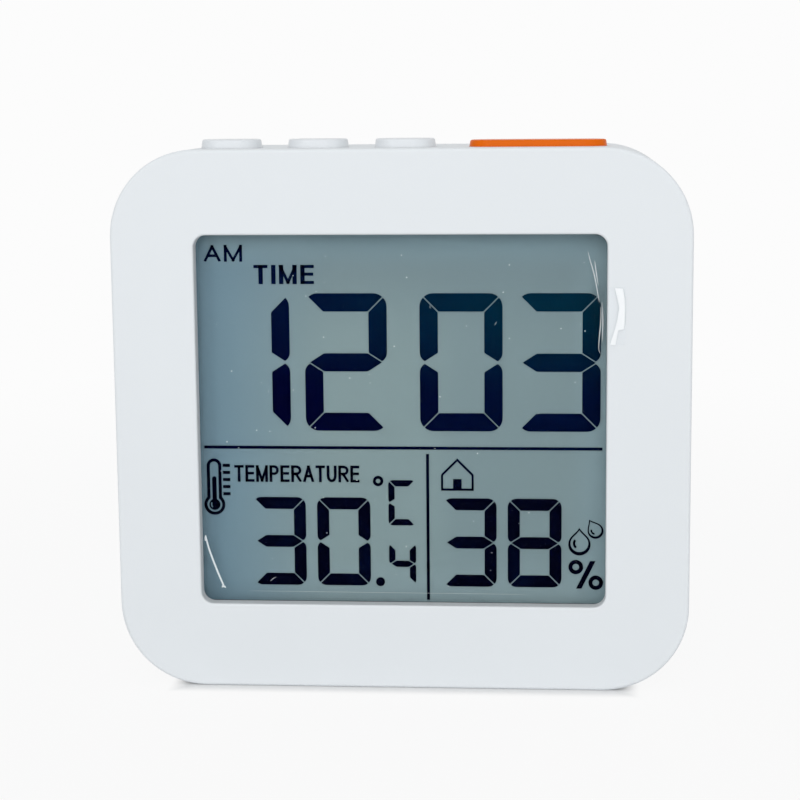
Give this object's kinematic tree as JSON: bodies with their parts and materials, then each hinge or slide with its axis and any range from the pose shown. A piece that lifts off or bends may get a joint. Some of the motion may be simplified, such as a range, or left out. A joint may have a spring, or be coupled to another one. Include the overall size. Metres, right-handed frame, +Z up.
{
  "type": "thermometer hygrometer clock",
  "caption": "Rounded square desk clock with a large liquid crystal panel for time, temperature and humidity, sprung top keys and a hooked battery cover.",
  "frame": {"origin": "on the table, under the middle of the case", "axes": "+Z up, +X to the right of someone reading the display, the display faces -Y"},
  "size_m": [0.08, 0.0264, 0.0768],
  "materials": {
    "white_plastic": "fine matt moulded texture, slightly cool white",
    "key_plastic": "smooth satin white",
    "orange_plastic": "smooth satin orange",
    "clear_window": "clear polished plastic",
    "clear_film": "thin clear protective film",
    "panel_glass": "polished glass with polariser",
    "panel_back": "grey green reflecting panel",
    "panel_seal": "dark epoxy seal",
    "dark_segments": "dark blue black display marks",
    "light_guide": "clear frosted light guide",
    "white_sheet": "white reflecting sheet",
    "led_body": "pale yellow lamp body",
    "black_plastic": "black moulded plastic",
    "contact_rubber": "layered conductive rubber",
    "circuit_board": "green solder mask",
    "plated_steel": "nickel plated steel",
    "plated_brass": "bright brass",
    "sensor_body": "white sensor housing",
    "buzzer_ceramic": "silvered ceramic disc",
    "battery_can": "plain sleeved steel can",
    "red_wire": "red insulated wire",
    "black_wire": "black insulated wire"
  },
  "bodies": {
    "case": {"front_case": "white_plastic", "rear_case": "white_plastic", "window_lens": "clear_window", "screen_film": "clear_film", "lcd_front_glass": "panel_glass", "lcd_seal": "panel_seal", "lcd_rear_glass": "panel_back", "time_digits": "dark_segments", "temperature_digits": "dark_segments", "humidity_digits": "dark_segments", "display_lines": "dark_segments", "display_symbols": "dark_segments", "light_guide": "light_guide", "light_reflector": "white_sheet", "backlight_leds": "led_body", "display_holder": "black_plastic", "contact_strip": "contact_rubber", "main_board": "circuit_board", "board_screws": "plated_steel", "chip_cap": "black_plastic", "timing_crystal": "plated_steel", "air_sensor": "sensor_body", "board_parts": "black_plastic", "key_board": "circuit_board", "board_link_pins": "plated_brass", "key_switches": "black_plastic", "buzzer_plate": "plated_brass", "buzzer_ceramic": "buzzer_ceramic", "buzzer_wires": "black_wire", "upper_cell": "battery_can", "lower_cell": "battery_can", "positive_contact": "plated_steel", "negative_contact": "plated_steel", "bridge_contact": "plated_steel", "contact_springs": "plated_steel", "positive_wire": "red_wire", "negative_wire": "black_wire", "case_screws": "plated_steel"},
    "mode_key": {"mode_key": "key_plastic", "mode_plunger": "key_plastic"},
    "up_key": {"up_key": "key_plastic", "up_plunger": "key_plastic"},
    "down_key": {"down_key": "key_plastic", "down_plunger": "key_plastic"},
    "snooze_key": {"snooze_key": "orange_plastic", "snooze_plunger": "key_plastic"},
    "battery_cover": {"battery_cover": "white_plastic"}
  },
  "joints": [
    {"name": "mode_press", "type": "slide", "parent": "case", "child": "mode_key", "axis": [0, 0, -1], "range_m": [0, 0.0005], "stiffness_N_per_m": 400, "springref_m": -0.001},
    {"name": "up_press", "type": "slide", "parent": "case", "child": "up_key", "axis": [0, 0, -1], "range_m": [0, 0.0005], "stiffness_N_per_m": 400, "springref_m": -0.001},
    {"name": "down_press", "type": "slide", "parent": "case", "child": "down_key", "axis": [0, 0, -1], "range_m": [0, 0.0005], "stiffness_N_per_m": 400, "springref_m": -0.001},
    {"name": "snooze_press", "type": "slide", "parent": "case", "child": "snooze_key", "axis": [0, 0, -1], "range_m": [0, 0.0005], "stiffness_N_per_m": 400, "springref_m": -0.001},
    {"name": "battery_cover_swing", "type": "hinge", "parent": "case", "child": "battery_cover", "pos_m": [0, 0.01305, 0.0138], "axis": [-1, 0, 0], "range_deg": [0, 80]}
  ]
}
